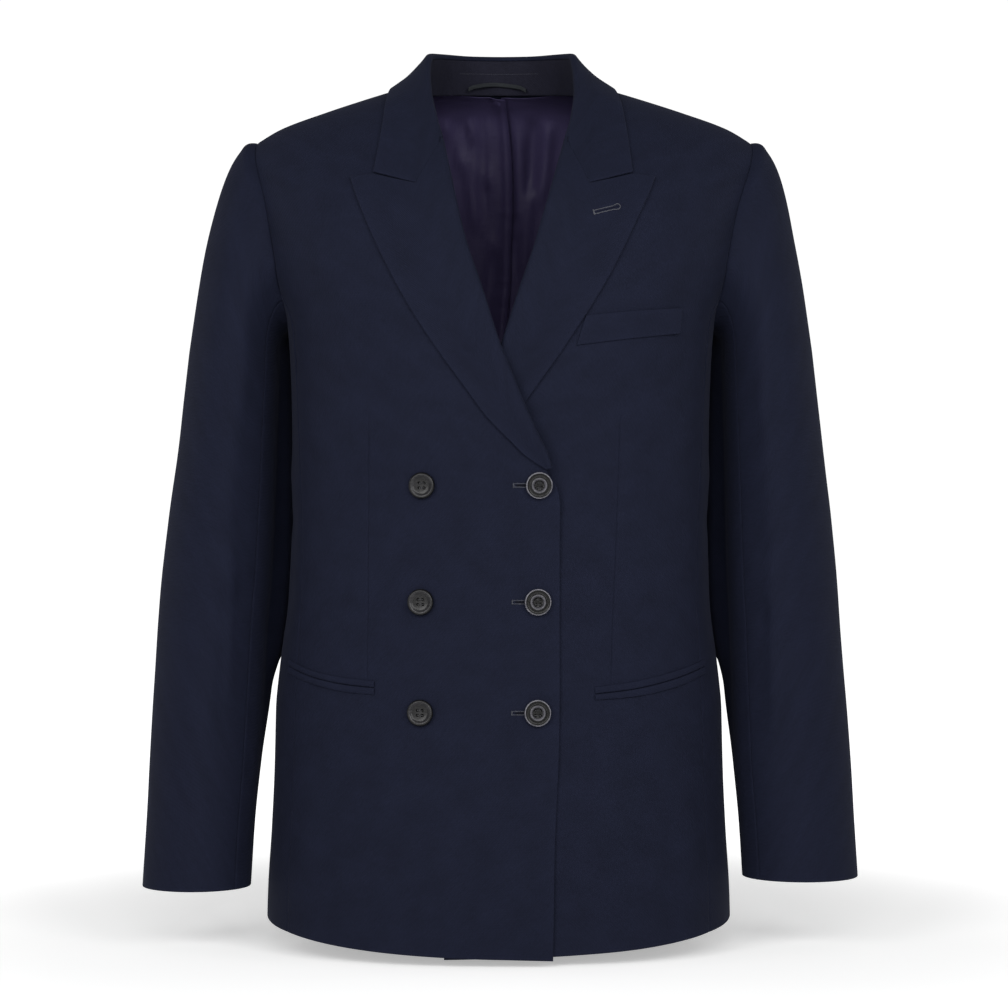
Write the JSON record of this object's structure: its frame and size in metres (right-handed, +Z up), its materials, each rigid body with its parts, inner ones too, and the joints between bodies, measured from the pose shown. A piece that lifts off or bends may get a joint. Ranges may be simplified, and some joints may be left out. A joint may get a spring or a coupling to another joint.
{
  "type": "double breasted blazer",
  "caption": "Navy double breasted blazer with peak lapels, closed, filled out as worn on a general figure, open at neck, hem and cuffs",
  "frame": {"origin": "middle of the base of the neck, level with the shoulders, where the wearer's shoulders hold the garment", "axes": "+X to the wearer's left, +Y to the wearer's back, +Z up"},
  "size_m": [0.598, 0.2677, 0.7583],
  "materials": {
    "wool": "matt navy wool twill, soft milled face",
    "lining": "satin lining, low sheen",
    "collar_band": "matt navy facing cloth",
    "fastened_button": "polished dark horn resin with a bright rim",
    "show_button": "semi-matt dark horn resin"
  },
  "bodies": {
    "root": {"forepart_right": "wool", "forepart_left": "wool", "side_panel_right": "wool", "side_panel_left": "wool", "back_right": "wool", "back_left": "wool", "lining_back_right": "lining", "lining_back_left": "lining", "lapel_right": "wool", "lapel_left": "wool", "collar_leaf": "wool", "collar_stand": "collar_band", "hanger_loop": "collar_band", "top_sleeve_right": "wool", "under_sleeve_right": "wool", "top_sleeve_left": "wool", "under_sleeve_left": "wool", "chest_welt": "wool", "hip_welt_upper_right": "wool", "hip_welt_lower_right": "wool", "hip_welt_upper_left": "wool", "hip_welt_lower_left": "wool", "fastened_button_upper": "fastened_button", "fastened_button_middle": "fastened_button", "fastened_button_lower": "fastened_button", "show_button_upper": "show_button", "show_button_middle": "show_button", "show_button_lower": "show_button"}
  },
  "joints": []
}
